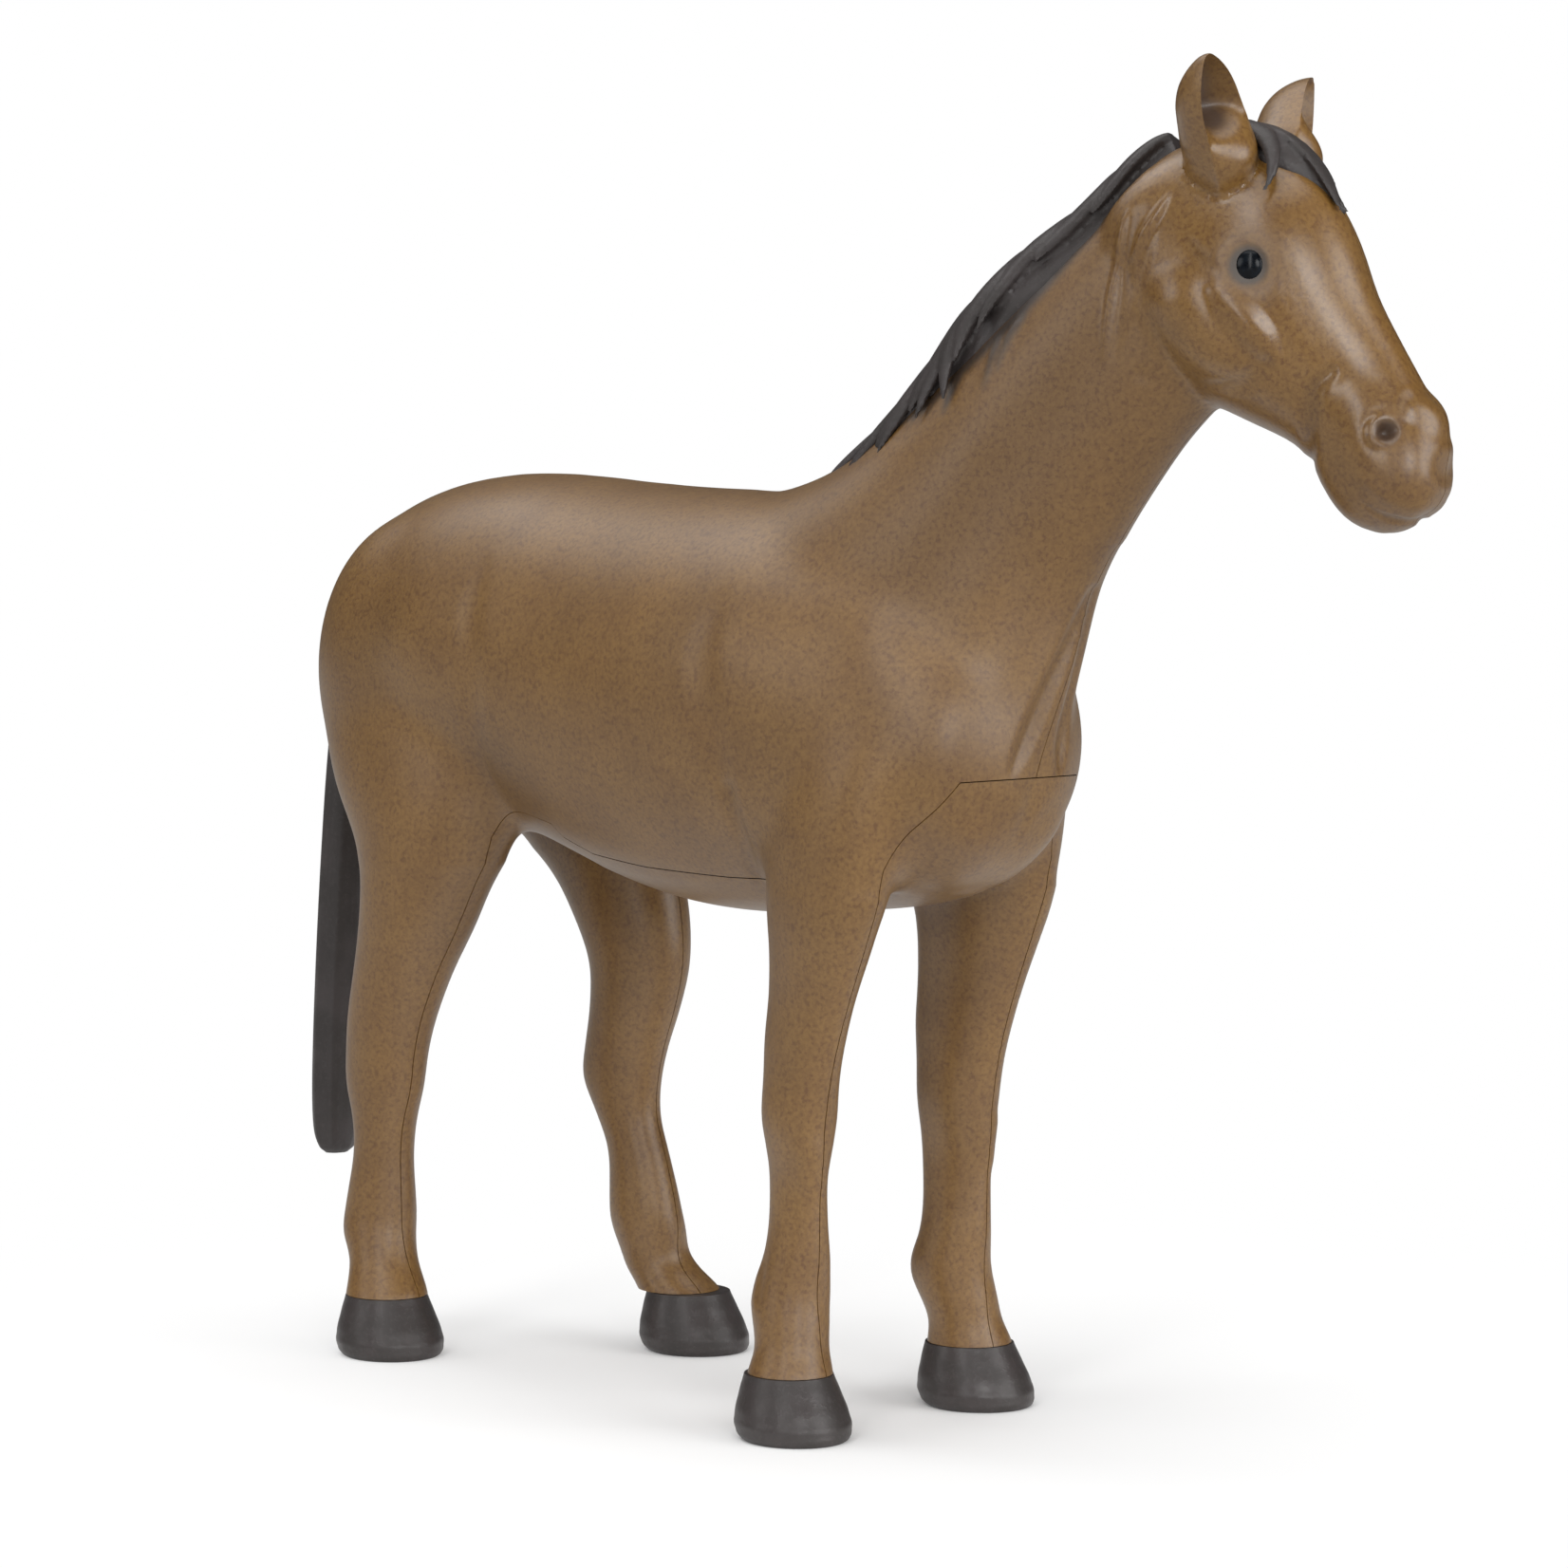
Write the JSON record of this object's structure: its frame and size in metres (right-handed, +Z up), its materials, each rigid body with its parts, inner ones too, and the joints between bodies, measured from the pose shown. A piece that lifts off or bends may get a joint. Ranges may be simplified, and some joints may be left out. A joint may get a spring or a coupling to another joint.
{
  "type": "toy horse figure",
  "caption": "Hollow moulded plastic farm horse standing on four hooves, neck turned to its left, with dark mane, forelock, tail, hooves and eyes.",
  "frame": {"origin": "centre of the whole figure's box at ground level, under the hooves' soles", "axes": "+X towards the horse's nose, +Y towards the horse's left side, +Z up"},
  "size_m": [0.1452, 0.0392, 0.1298],
  "materials": {
    "coat": "semi-gloss",
    "dark": "satin",
    "eye": "polished"
  },
  "bodies": {
    "root": {"right_shell": "coat", "left_shell": "coat", "underbody": "coat", "mane": "dark", "forelock": "dark", "tail": "dark", "right_eye": "eye", "left_eye": "eye", "right_fore_hoof": "dark", "right_hind_hoof": "dark", "left_fore_hoof": "dark", "left_hind_hoof": "dark"}
  },
  "joints": []
}
